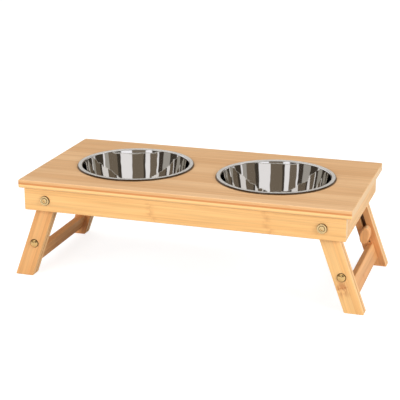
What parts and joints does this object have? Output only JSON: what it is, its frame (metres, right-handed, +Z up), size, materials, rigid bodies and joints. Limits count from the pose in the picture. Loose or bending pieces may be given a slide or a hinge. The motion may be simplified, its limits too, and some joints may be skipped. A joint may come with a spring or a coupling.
{
  "type": "adjustable dog bowl stand",
  "caption": "Raised bamboo feeding stand with lift-out stainless bowls in a framed top and folding slotted legs that slide and clamp by oval knobs to set the height.",
  "frame": {"origin": "floor level under the middle of the stand", "axes": "+X to the right along the board, +Y to the rear, +Z up"},
  "size_m": [0.506, 0.24, 0.1506],
  "materials": {
    "bamboo_board": "satin clear-coated bamboo",
    "bamboo_apron": "satin clear-coated bamboo",
    "bamboo_leg": "satin clear-coated bamboo",
    "bamboo_bar": "satin clear-coated bamboo",
    "bamboo_knob": "satin clear-coated bamboo",
    "dowel_wood": "plain wood",
    "stainless": "mirror-polished stainless steel",
    "bolt_metal": "polished, pale brassy plating",
    "zinc_steel": "zinc plated",
    "insert_brass": "plain brass"
  },
  "bodies": {
    "top": {"top_board": "bamboo_board", "front_apron": "bamboo_apron", "rear_apron": "bamboo_apron", "left_end_rail": "bamboo_apron", "right_end_rail": "bamboo_apron", "corner_dowels": "dowel_wood", "board_dowels": "dowel_wood", "pivot_bolts": "bolt_metal", "pivot_washers": "zinc_steel", "pivot_nuts": "zinc_steel"},
    "left_leg": {"left_outer_leg_front": "bamboo_leg", "left_outer_leg_rear": "bamboo_leg", "left_clamp_bolts": "bolt_metal", "left_clamp_washers": "zinc_steel", "left_guide_pins": "zinc_steel"},
    "left_slide": {"left_inner_leg_front": "bamboo_leg", "left_inner_leg_rear": "bamboo_leg", "left_crossbar": "bamboo_bar", "left_crossbar_screws": "zinc_steel"},
    "left_knob_front": {"left_knob_front": "bamboo_knob", "left_knob_insert_front": "insert_brass"},
    "left_knob_rear": {"left_knob_rear": "bamboo_knob", "left_knob_insert_rear": "insert_brass"},
    "left_bowl": {"left_bowl": "stainless"},
    "right_leg": {"right_outer_leg_front": "bamboo_leg", "right_outer_leg_rear": "bamboo_leg", "right_clamp_bolts": "bolt_metal", "right_clamp_washers": "zinc_steel", "right_guide_pins": "zinc_steel"},
    "right_slide": {"right_inner_leg_front": "bamboo_leg", "right_inner_leg_rear": "bamboo_leg", "right_crossbar": "bamboo_bar", "right_crossbar_screws": "zinc_steel"},
    "right_knob_front": {"right_knob_front": "bamboo_knob", "right_knob_insert_front": "insert_brass"},
    "right_knob_rear": {"right_knob_rear": "bamboo_knob", "right_knob_insert_rear": "insert_brass"},
    "right_bowl": {"right_bowl": "stainless"}
  },
  "joints": [
    {"name": "left_leg_fold", "type": "hinge", "parent": "top", "child": "left_leg", "pos_m": [-0.196, 0, 0.12], "axis": [0, -1, 0], "range_deg": [0, 76]},
    {"name": "left_height_slide", "type": "slide", "parent": "left_leg", "child": "left_slide", "axis": [-0.342, 0, -0.9397], "range_m": [0, 0.05]},
    {"name": "left_knob_front_turn", "type": "hinge", "parent": "left_leg", "child": "left_knob_front", "pos_m": [-0.22148, 0, 0.04999], "axis": [0, 1, 0], "range_deg": [0, 270]},
    {"name": "left_knob_rear_turn", "type": "hinge", "parent": "left_leg", "child": "left_knob_rear", "pos_m": [-0.22148, 0, 0.04999], "axis": [0, -1, 0], "range_deg": [0, 270]},
    {"name": "left_bowl_lift", "type": "slide", "parent": "top", "child": "left_bowl", "axis": [0, 0, 1], "range_m": [0, 0.07]},
    {"name": "right_leg_fold", "type": "hinge", "parent": "top", "child": "right_leg", "pos_m": [0.196, 0, 0.12], "axis": [0, 1, 0], "range_deg": [0, 76]},
    {"name": "right_height_slide", "type": "slide", "parent": "right_leg", "child": "right_slide", "axis": [0.342, 0, -0.9397], "range_m": [0, 0.05]},
    {"name": "right_knob_front_turn", "type": "hinge", "parent": "right_leg", "child": "right_knob_front", "pos_m": [0.22148, 0, 0.04999], "axis": [0, 1, 0], "range_deg": [0, 270]},
    {"name": "right_knob_rear_turn", "type": "hinge", "parent": "right_leg", "child": "right_knob_rear", "pos_m": [0.22148, 0, 0.04999], "axis": [0, -1, 0], "range_deg": [0, 270]},
    {"name": "right_bowl_lift", "type": "slide", "parent": "top", "child": "right_bowl", "axis": [0, 0, 1], "range_m": [0, 0.07]}
  ]
}
